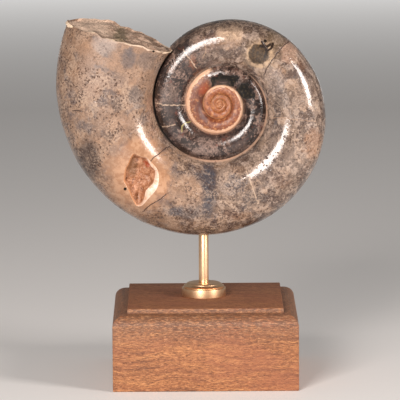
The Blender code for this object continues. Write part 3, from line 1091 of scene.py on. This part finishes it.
STAINS = (  # X, Z, width, height, colour, strength
    (11.2, 150.9, 11, 7, (255, 226, 190), 0.95),
    (1.8, 147.0, 12, 6, (176, 146, 126), 0.5),
    (-4.6, 138.8, 3, 9, (186, 126, 90), 0.7),
    # the next three make the shell darker along its top and right rims
    (14.0, 154.6, 24, 6, (50, 41, 36), 0.95),
    (28.5, 151.8, 12, 5, (62, 50, 42), 0.85),
    (51.6, 121.0, 4, 28, (104, 84, 72), 0.6),
    (34.6, 122.8, 8, 8, (104, 92, 86), 0.65),
    (9.6, 86.8, 8, 12, (196, 180, 164), 0.7),
    # darker along the bottom rim
    (19.4, 68.6, 14, 6, (84, 70, 62), 0.6),
    (38.0, 96.0, 8, 14, (190, 172, 154), 0.5),
    (27.0, 97.5, 9, 6, (98, 86, 80), 0.5),
    (42.0, 126.5, 8, 8, (196, 176, 156), 0.55),
    (10.0, 146.5, 10, 5, (176, 146, 120), 0.6),
    (36.8, 142.9, 7, 9, (226, 190, 162), 0.85),
    (31.7, 149.0, 9, 7, (112, 96, 62), 0.75),
    (25.0, 142.5, 16, 15, (158, 138, 110), 0.7),
    (42.0, 136.8, 5, 6, (126, 88, 62), 0.7),
    (47.4, 103.0, 9, 13, (200, 146, 98), 0.8),
    (48.4, 105.0, 3.5, 5, (126, 84, 60), 0.7),
    (29.8, 131.0, 11, 11, (182, 168, 156), 0.75),
    (1.6, 84.0, 7, 22, (72, 82, 96), 0.9),
    (-6.5, 74.0, 12, 7, (112, 108, 108), 0.7),
    (13.2, 85.7, 8, 8, BLUE_GREY, 0.75),
    (21.8, 79.5, 10, 8, (92, 88, 88), 0.7),
    (-2.0, 89.5, 10, 4, (96, 94, 98), 0.7),
    (-12.9, 74.7, 6, 5, BLUE_GREY, 0.6),
    (-32.6, 141.3, 7, 9, (116, 112, 112), 0.6),
    (-24.6, 140.0, 8, 8, (120, 112, 108), 0.5),
    (-42.0, 145.8, 8, 7, (128, 126, 124), 0.45),
    (-29.8, 125.4, 6, 9, (122, 116, 112), 0.55),
    (-37.4, 121.4, 5, 7, (126, 118, 112), 0.45),
    (-50.5, 96.5, 10, 17, (80, 66, 58), 0.85),
    (-38.5, 101.5, 6, 5, (116, 108, 104), 0.5),
    (-7.8, 83.0, 14, 14, (206, 174, 144), 0.8),
    (14.0, 92.0, 9, 4, (190, 158, 128), 0.5),
    (-18.5, 131.0, 5, 6, (132, 110, 98), 0.5),
    (-17.5, 124.3, 8, 5.5, (136, 124, 116), 0.8),
    (-3.0, 134.0, 6, 5, (150, 96, 70), 0.35),
    (0.2, 101.5, 16, 7, (176, 156, 144), 0.7),
    (22.0, 113.0, 9, 24, (40, 30, 27), 0.95),
    (-15.0, 126.0, 8, 9, (150, 130, 116), 0.5),
    # lighter where the left soft box's blurred reflection lies on a matt scuff: a painted highlight,
    # partly real wear
    (-43.2, 147.5, 10, 8, (216, 200, 184), 0.5),
    (-50.0, 133.0, 8, 20, (190, 164, 142), 0.5),
    (-22.0, 117.0, 5, 26, (196, 158, 132), 0.6),
    (-40.0, 132.0, 14, 7, (170, 148, 130), 0.6),
    (-34.0, 113.0, 12, 8, (206, 172, 142), 0.5),
    (32.0, 100.0, 12, 12, (164, 148, 134), 0.5),
    (8.0, 77.0, 8, 8, (176, 150, 126), 0.5),
    (33.0, 88.0, 10, 8, (170, 138, 112), 0.5),
    (13.0, 72.0, 14, 4, (172, 130, 100), 0.5),
)
print(len(TONES), "tones and", len(STAINS), "stains")

# %% [markdown]
# ## Patterns in the stone
#
# All the clouding comes from about ten noises, from broad patches to fine grains. One of them is
# laid out along the growth, so that it makes streaks across the whorls. Masks tell where the heart,
# the dark whorl and the last whorl are. A slow drift moves every border a little, as nothing in a
# stone is ruled.

# %% Noises and masks
stone, shader = new_finish("polished stone")
place = millimetres(shader)
growth_map = add("UVMap", {}, "UV", shader.id_data, uv_map="growth")
grown, flank = axis(growth_map, "X"), axis(growth_map, "Y")
drift = cloud(place, 3.5, 4) - 0.5
turns = grown + drift * 0.09
part = flank + drift * 0.18
front = step(axis(place, "Y"), -3, -1, 1, 0)

broad = cloud(wander(place, 9, 8), 9, 5, 0.6)
blocks = cloud(wander(place, 5, 7), 6.5, 6, 0.52)
medium = cloud(wander(place, 3, 4), 2.8, 6, 0.58)
granules = cloud(wander(place, 1.6, 1.5), 1.7, 7, 0.72)
rough_heart = cloud(wander(place, 1.4, 1.5), 1.3, 6, 0.7)
fine = cloud(wander(place, 1, 1), 0.9, 6, 0.75)
dust = cloud(place, 0.75, 5, 0.85)
reddish = cloud(place, 3.4, 6, 0.7)
streaks = cloud(add("CombineXYZ", {"X": turns * 75, "Y": part * 4}), 1, 6, 0.62)
crowds = three_clouds(place, 8)
crowd_a, crowd_b, crowd_c = [axis(crowds, letter) for letter in "XYZ"]
ragged = flattened(wander(wander(place, 3, 5), 1, 1.6))
bent = flattened(wander(place, 1.8, 1.2))

heart = step(turns, -1.9, -1.885, 1, 0)
deep = step(turns, -1.9, -1.87) * step(turns, -0.95, -0.78, 1, 0)
last = 1 - calc("MAXIMUM", deep, step(turns, -1.9, -1.87, 1, 0))
calm = combine("MAXIMUM", *[stain(ragged, *oval) for oval in CALM]) * front
halo = combine("MAXIMUM", *[stain(ragged, *oval) * strength for *oval, strength in HALO]) * front
clear = step(halo, 0, 0.8, 1, 0.15)
flecked = last * step(turns, -0.38, -0.2, 1, 0.35) * step(calm, 0, 1, 1, 0.15)
aged = flecked * step(turns, -0.2, -0.7)
fresh = step(turns, -0.95, -0.85) * step(turns, -0.55, -0.3, 0.5, 1)
fresh = fresh * step(calm, 0, 1, 1, 0.3) * clear
print("nodes so far:", len(shader.id_data.nodes))

# %% [markdown]
# ## Clouding of the whorls
#
# Tints are laid one over another, as a painter glazes: broad clouds, then the stains, then flecks
# from coarse to fine. The stains come again, weaker, over the coarse flecks, so that they aren't
# buried. The dark whorl has its own flecks, and the warm halo round the hollow comes last.

# %% Glazes
STAIN_SOFTNESS = 0.32
STAINS_AGAIN = 0.45  # their strength the second time

stains = [
    (stain(ragged, *oval, STAIN_SOFTNESS) * front, tint, strength)
    for *oval, tint, strength in STAINS
]
share_grown = linear(turns, FIRST_TURN, LAST_TURN)
span = LAST_TURN - FIRST_TURN
colour = paint(
    ramp(share_grown, *[((at - FIRST_TURN) / span, tone) for at, tone in TONES]),
    (step(broad, 0.5, 0.62, 0, 0.6) * last, BLUE_GREY),
    (step(broad, 0.46, 0.36, 0, 0.5) * last, (206, 168, 132)),
    *[(mask * strength, tint) for mask, tint, strength in stains],
    (step(blocks, 0.515, 0.545, 0, 0.6) * flecked, (104, 88, 80)),
    (step(blocks, 0.465, 0.435, 0, 0.6) * flecked, (226, 200, 172)),
    (crowded(medium, crowd_a, 0.53, 0.56, 0.62) * flecked, (92, 76, 66)),
    (crowded(medium, crowd_b, 0.46, 0.43, 0.6) * flecked, (224, 206, 186)),
    (step(abs(blocks - 0.53), 0.009, 0.002, 0, 0.6) * flecked, (72, 54, 46)),
    (crowded(streaks, crowd_c, 0.53, 0.57, 0.7) * aged, (86, 68, 58)),
    (crowded(streaks, crowd_a, 0.46, 0.42, 0.5) * aged, (216, 200, 184)),
    *[(mask * (STAINS_AGAIN * strength), tint) for mask, tint, strength in stains],
    (crowded(fine, crowd_c, 0.44, 0.41, 0.5) * fresh, (228, 204, 176)),
    (crowded(fine, crowd_b, 0.585, 0.615, 0.65) * fresh, (70, 50, 40)),
    (step(dust, 0.54, 0.58, 0, 0.3) * clear, (78, 56, 46)),
    (step(dust, 0.45, 0.41, 0, 0.3) * flecked, (240, 216, 190)),
    (crowded(streaks, crowd_c, 0.48, 0.52, 0.85) * deep, (40, 30, 27)),
    (crowded(granules, crowd_a, 0.46, 0.42, 0.65) * deep, (188, 162, 146)),
    (step(fine, 0.5, 0.56, 0, 0.6) * deep, (44, 33, 30)),
    (step(broad, 0.5, 0.6, 0, 0.5) * deep, (62, 56, 58)),
    (step(reddish, 0.58, 0.68, 0, 0.5) * deep, (150, 88, 70)),
    (step(abs(medium - 0.5), 0.016, 0, 0, 0.5) * clear, (70, 52, 42)),
    (halo, mix(step(medium, 0.42, 0.58), (232, 188, 148), (202, 154, 114))),
)
print("nodes so far:", len(shader.id_data.nodes))

# %% [markdown]
# ## Heart, seams and rim
#
# The innermost whorls are mottled orange-brown, darker like wine on the left, with a pale line
# along their seams. The seam of the last whorl is a pale line below. Towards the mouth, where it
# is deep, its gap is painted dark: painted shade, with some dirt. The shell's cut edge shows as a
# thin cream crust along the broken rim.

# %% Heart, seams and rim
wine = between(turns, -2.25, -1.93, 0.06) * step(part, 0.75, 0.5)
ember = between(turns, -1.985, -1.915, 0.02) * between(part, 0.1, 0.6, 0.1)
skirt = between(turns, -1.5, -0.98, 0.05) * step(part, 0.18, 0.06, 0, 0.7)
inner_seam = step(turns, -2.9, -2.95) * step(flank, 0.86, 0.95, 0, 0.7)
beside = between(flank, -1, 1.01, 0.001)
pale = calc(
    "MAXIMUM",
    step(flank + drift * 0.05, 0.085, 0.05) * between(grown, -0.66, -0.24, 0.05),
    step(flank, 0.97, 0.985) * beside * between(grown, -1.7, -1.26, 0.04),
)
# where the deep seam gets painted shade, with some dirt
seam_shade_and_dirt = calc(
    "MAXIMUM",
    step(flank, 0.05, 0.025) * step(grown, -0.22, -0.14),
    step(flank + drift * 0.06, 0.95, 0.975) * beside * between(grown, -1.22, -0.98, 0.03),
)
ragged_rim = grown + (drift * 0.006 + fine * 0.006)
crust = step(ragged_rim, MOUTH_END - 0.0005, MOUTH_END + 0.0005)
crust = crust * step(flank, 0.75, 0.5) * step(grown, 0, 0.01)
colour = paint(
    colour,
    (heart * step(rough_heart, 0.5, 0.6, 0, 0.75), (126, 66, 40)),
    (heart * step(rough_heart, 0.47, 0.38, 0, 0.7), (234, 172, 112)),
    (wine * step(medium, 0.42, 0.56, 0.2, 0.85), (92, 44, 32)),
    (ember * step(rough_heart, 0.4, 0.5, 0.2, 0.9), (176, 84, 46)),
    (skirt, (208, 170, 142)),
    (inner_seam, (232, 186, 142)),
    (pale * 0.75, (250, 216, 186)),
    # painted shade, with some dirt, in the deep seam
    (seam_shade_and_dirt * 0.92, (26, 18, 14)),
    (crust * 0.9, (255, 236, 208)),
)
print("nodes so far:", len(shader.id_data.nodes))

# %% [markdown]
# ## Lines and the round spot
#
# Cracks are dark and cut a little into the polish. Veins are thin lines of cream calcite, the last
# traces of the walls between the animal's chambers. A round brown spot with a pale ring lies at the
# upper right, with a few dark strokes over it like a twig.

# %% Cracks, veins and the spot
SPOT = (23.7, 142.2, 8.6, 8.8)
RING = (SPOT[0] + 0.5, SPOT[1] - 0.4, SPOT[2] + 3.2, SPOT[3] + 2.6)
CRACKS = (
    ((-23.5, 96.3), (-21.9, 98.1), (-20.0, 99.3), (-17.0, 101.3), (-15.1, 102.0)),
    ((-16.6, 82.4), (-19.3, 79.9), (-22.0, 78.2), (-24.8, 76.2), (-26.7, 74.0)),
    ((37.0, 147.0), (34.5, 145.6), (32.0, 143.0), (28.2, 137.8), (26.1, 133.4)),
    ((25.2, 147.8), (26.4, 145.7), (27.3, 144.0)),
    ((-57.0, 118.3), (-55.2, 118.9), (-52.8, 118.6)),
)
VEINS = (
    ((-20.9, 120.8), (-17.7, 120.1), (-13.3, 120.0), (-8.1, 119.5)),
    ((-18.1, 110.4), (-15.9, 110.5), (-12.6, 111.6)),
    ((-8.8, 144.0), (-6.8, 141.0), (-5.1, 138.8), (-3.1, 135.9)),
    ((18.1, 91.3), (19.7, 87.4), (21.4, 82.6), (23.1, 77.3)),
)
TWIG = (
    ((25.2, 147.4), (26.6, 145.6), (27.2, 143.4), (26.4, 141.2)),
    ((26.8, 145.2), (28.6, 146.2)),
    ((27.2, 143.6), (29.0, 144.6), (29.8, 146.4)),
    ((24.6, 145.8), (26.8, 144.9)),
)
GREENISH_VEINS = (((-9.8, 108.3), (-9.6, 110.5), (-8.7, 111.9), (-6.1, 112.2)),)
FAINT_VEINS = (
    ((27.3, 114.0), (34.3, 114.6), (48.4, 112.7)),
    ((0.1, 149.2), (1.0, 144.1), (-0.3, 140.5)),
)
vein = step(line_distance(bent, VEINS), 0.35, 0.1) * front
greenish = step(line_distance(bent, GREENISH_VEINS), 0.35, 0.1, 0, 0.7) * front
faint = step(line_distance(bent, FAINT_VEINS), 0.35, 0.1, 0, 0.5) * front
twig = step(line_distance(bent, TWIG), 0.75, 0.35, 0, 0.95) * front
crack = step(line_distance(bent, CRACKS), 0.34, 0.1) * front
spot = stain(bent, *SPOT, 0.12) * front
pale_ring = stain(bent, *RING, 0.12) * front
colour = paint(
    colour,
    (vein * step(fine, 0.6, 0.44, 0.25, 0.85), (240, 216, 186)),
    (greenish, (206, 200, 130)),
    (faint, (208, 178, 148)),
    (pale_ring * step(medium, 0.6, 0.45, 0.25, 0.9), (222, 196, 160)),
    (spot, (98, 78, 50)),
    (spot * step(fine, 0.44, 0.54, 0, 0.8), (44, 30, 20)),
    (twig, (36, 24, 16)),
    (crack * 0.9, (64, 38, 26)),
)
print(len(CRACKS), "cracks and", len(VEINS), "veins")

# %% [markdown]
# ## Specks, pockets and polish
#
# Fine dark specks lie in loose groups over about the last half turn, and the pockets have a dark
# floor with olive grains. The clear calcite swallows some of the light, so the whole colour is
# taken down, and the cream rim of the heart is laid on after that. The polish is high, a little
# duller on the last whorl and quite dull in every speck, crack and pocket. The thin clear coat ends
# in the pockets and on the round spot, and it fades in the specks.

# %% Specks, pockets and polish
dots = add("TexVoronoi", {"Vector": wander(place, 0.7, 1.7), "Scale": 1 / 1.3}, "Distance")
chosen = axis(Signal(dots.socket.node.outputs["Color"]), "X")
specks = step(dots, 0.4, 0.28) * step(chosen, 0.3, 0.35)
specks = specks * step(cloud(place, 6, 3), 0.44, 0.52) * step(turns, -0.8, -0.5)
specks = specks * step(calm, 0, 1, 1, 0.3) * clear
crumb = fine - 0.5
rag_along = grown + (drift * 0.07 + crumb * 0.05)
rag_across = flank + (drift * 0.5 + crumb * 0.7)
pockets = []
for start, end, low, high in POCKETS:
    low, high = low ** (1 / FLANK_SPREAD), high ** (1 / FLANK_SPREAD)
    pockets.append(between(rag_along, start, end, 0.003) * between(rag_across, low, high, 0.02))
pocket = combine("MAXIMUM", *pockets) * front
cream = between(turns, -2.95, -1.88, 0.03) * step(flank + (rough_heart - 0.5) * 0.45, 0.8, 0.85)
cream = cream * step(pocket, 0, 1, 1, 0) * step(rough_heart, 0.3, 0.5, 0.5, 0.95)
colour = paint(
    colour,
    (specks * 0.75, (78, 50, 38)),
    (pocket, mix(step(fine, 0.53, 0.6, 0, 0.6), (14, 10, 8), (108, 96, 66))),
)
colour = paint(vector("MULTIPLY", colour, CLEAR_LOSS), (cream, (222, 182, 152)))

dull = combine("MAXIMUM", specks, crack, pocket, seam_shade_and_dirt, spot * 0.3)
near_rim = step(turns, -0.06, 0) * step(1 - heart, 0, 1)
scuffed = calc("MAXIMUM", stain(ragged, *SCUFFS) * front, near_rim)
gloss = step(turns, -0.95, -0.2, 0.09, 0.17) + heart * 0.1 + scuffed * 0.2
rough = gloss + step(medium, 0.4, 0.7, 0, 0.08) + dull * 0.5
bare = combine("MAXIMUM", pocket, spot, specks * 0.7)
waves = cloud(place, 2.4, 3) * 0.06 + streaks * deep * 0.1
polish = bump(waves - dull * 0.12 + rough_heart * heart * 0.3)
plug(shader, {
    "Base Color": colour,
    "Roughness": calc("ADD", rough, pocket * 0.3, clamp=True),
    "IOR": 1.5,
    "Coat Weight": step(bare, 0, 1, 0.25, 0),
    "Coat Roughness": 0.05,
    "Normal": polish,
    "Coat Normal": polish,
})
print("nodes in the polished stone:", len(shader.id_data.nodes))

# %% [markdown]
# ## Broken rock
#
# The break shows the mud that filled the shell: beige, dusty and quite matt, with darker patches
# and a thin line of cream where the shell wall itself is seen edge on, along its front rim. A thin
# painted shadow runs beside the cream line, and the left part is painted lighter as light.

# %% Rock at the mouth
FOLDS = (0.44, 0.5, 0.57)
GREEN_PATCH = (-36.4, 148.6, 6, 6)


def broken_rock():
    finish, shader = new_finish("broken rock")
    place = millimetres(shader)
    layers = cloud(stretched(wander(place, 5, 4), 3, 2), 1.5, 6, 0.7)
    broad = cloud(place, 7, 4, 0.6)
    grains = cloud(place, 0.5, 4, 0.7)
    left = step(axis(wander(place, 6, 6), "X"), -38, -44)
    across = axis(add("UVMap", {}, "UV", shader.id_data, uv_map="growth"), "Y")
    edge = across + (broad - 0.5) * 0.05
    colour = paint(
        ramp(layers, (0.36, (96, 74, 58)), (0.46, (184, 152, 130)), (0.6, (232, 200, 176))),
        (step(broad, 0.5, 0.62, 0, 0.6), (104, 84, 68)),
        (step(broad, 0.44, 0.3, 0, 0.5), (166, 116, 86)),
        # pale rock, painted lighter still as light where the left of the break is lit
        (left * 0.75, (236, 206, 182)),
        (stain(flattened(wander(place, 3, 4)), *GREEN_PATCH) * 0.75, (82, 80, 50)),
        *[(step(abs(layers - level), 0.014, 0.005, 0, 0.8), (84, 54, 38)) for level in FOLDS],
        (step(grains, 0.54, 0.6, 0, 0.5), (92, 70, 54)),
        (step(grains, 0.45, 0.4, 0, 0.5), (220, 192, 166)),
        # a painted shadow along the cream line of the rim
        (step(edge, 0.2, 0.1, 0, 0.7) * step(edge, 0.06, 0.1), (88, 64, 48)),
        (step(edge, 0.09, 0.06, 0, 0.95), (246, 220, 190)),
    )
    relief = bump(layers * 0.7 + grains * 0.16)
    rough = step(layers, 0.3, 0.7, 0.6, 0.85)
    plug(shader, {"Base Color": colour, "Roughness": rough, "Normal": relief})
    return finish


new_piece("fossil", fossil_bm, [stone, broken_rock()], "ammonite")

# %% [markdown]
# ## Crystal lining: shape
#
# Calcite grew inwards from the hollow's wall. It shows as a pale lip of uneven width, flush with
# the polished side, then as a rough bowl of small crystals. The lining starts as the ring of the
# hollow's edge. Rings extruded inwards make the lip and the bowl, rings extruded backwards make the
# skirt that hugs the wall, and the bowl's vertices are then pushed in and out by cell noise, whose
# creases stand for crystal edges. A number on each vertex tells the finish how deep it lies.

# %% Calcite lining
LIP_SLOPE = 0.9 * MM
LIP_RINGS = 3
LIP_SINK = 0.02 * MM  # keeps the lip just below the polish
BOWL_DEPTH = 4.6 * MM
BOWL_RINGS = 30
CRYSTAL_SIZE = 4.6 * MM
CRYSTAL_RELIEF = 1.9 * MM
SMALL_CRYSTALS, SMALL_RELIEF = 2.6, 0.25  # how many times smaller, and their share of the relief
LINING_WALL = 1.15 * MM
LINING_FIT = 0.05 * MM


def crystal_height(spot):
    """Height of the crystals, from the distances to the nearest two cell points."""
    place = spot.to_3d() / CRYSTAL_SIZE
    nearest = noise.voronoi(place)[0]
    small = noise.voronoi(place * SMALL_CRYSTALS + Vector((7, 3, 1)))[0]
    return min(1, nearest[1] - nearest[0]) + SMALL_RELIEF * min(1, small[1] - small[0])


def calcite_lining():
    bm = bmesh.new()
    depth = bm.verts.layers.float.new("depth")
    edge = first_ring(bm, edge_points, lambda spot: front_y(spot) + LIP_SINK)
    ring = edge
    for number in range(1, LIP_RINGS + 1):
        share = number / LIP_RINGS
        spots = [point.lerp(lip, share) for point, lip in zip(edge_points, lip_points)]
        ring = next_ring(bm, ring, spots, lambda spot: front_y(spot) + LIP_SLOPE * share**1.5)
    for number in range(1, BOWL_RINGS):
        share = 1 - number / BOWL_RINGS
        deep = LIP_SLOPE + BOWL_DEPTH * (1 - share**3) ** 0.6
        rise = CRYSTAL_RELIEF * smooth(number, 0, 4)
        spots = shrunk(lip_points, share)
        ring = next_ring(
            bm, ring, spots, lambda spot: front_y(spot) + deep - rise * crystal_height(spot)
        )
        for vert in ring:
            vert[depth] = smooth(number, 0, 2)
    inside = [item for item in bm.edges if item.is_boundary and item.verts[0] in ring]
    fill = bmesh.ops.holes_fill(bm, edges=inside, sides=0)["faces"]
    for vert in bmesh.ops.poke(bm, faces=fill)["verts"]:
        vert[depth] = 1
    back = next_ring(bm, edge, edge_points, lambda spot: front_y(spot) + LINING_WALL)
    spots = shrunk(edge_points, HOLLOW_NARROW - 0.01)
    next_ring(bm, back, spots, lambda spot: HOLLOW_FLOOR - LINING_FIT)
    open_edges = [item for item in bm.edges if item.is_boundary]
    fill = bmesh.ops.holes_fill(bm, edges=open_edges, sides=0)["faces"]
    bmesh.ops.poke(bm, faces=fill)
    bmesh.ops.recalc_face_normals(bm, faces=bm.faces)
    return bm


# %% [markdown]
# ## Crystal lining: finish
#
# The lip is cream, almost white where it is thickest. The crystals are orange-brown with pale
# edges, darker and browner in the upper left, where shade is painted, and redder in the upper
# right. Calcite is glassy, so the faces glint although the surface is rough.

# %% Calcite
# where painted shade darkens the bowl's upper left
SHADED_UPPER_LEFT = (-31.2, 93.8, 4.5, 9)
RED_PATCH = (-24.8, 95.4, 2.6, 2.6)


def calcite():
    finish, shader = new_finish("calcite")
    place = millimetres(shader)
    deep = add("Attribute", {}, "Fac", shader.id_data, attribute_name="depth")
    blush = cloud(place, 3, 5, 0.65)
    grains = cloud(place, 0.7, 5, 0.7)
    cells = {"Vector": wander(place, 2, 4), "Scale": 1 / 3}
    web = add("TexVoronoi", cells, "Distance", feature="DISTANCE_TO_EDGE")
    flat = flattened(wander(place, 2, 3))
    right = step(axis(place, "X"), -32, -24)
    lip = ramp(blush, (0.35, (206, 162, 132)), (0.5, (222, 196, 176)), (0.7, (190, 142, 108)))
    lip = mix(right, (186, 134, 98), lip)
    bowl = paint(
        ramp(blush, (0.34, (104, 62, 38)), (0.5, (156, 104, 72)), (0.66, (184, 134, 102))),
        (step(web, 0.05, 0.01, 0, 0.45), (228, 178, 144)),
        (step(grains, 0.55, 0.72, 0, 0.3), (118, 68, 44)),
        # painted shade in the bowl's upper left, olive brown
        (stain(flat, *SHADED_UPPER_LEFT) * 0.75, (104, 72, 46)),
        (stain(flat, *RED_PATCH), (150, 70, 40)),
    )
    plug(shader, {
        "Base Color": mix(step(deep, 0.1, 0.6), lip, bowl),
        "Roughness": step(deep, 0, 1, 0.25, 0.42),
        "IOR": 1.56,
        "Normal": bump((grains * 0.16 + web * 0.4) * step(deep, 0, 1, 0.15, 1)),
    })
    return finish


new_piece("crystal_lining", calcite_lining(), [calcite()], "calcite_crust", 25)
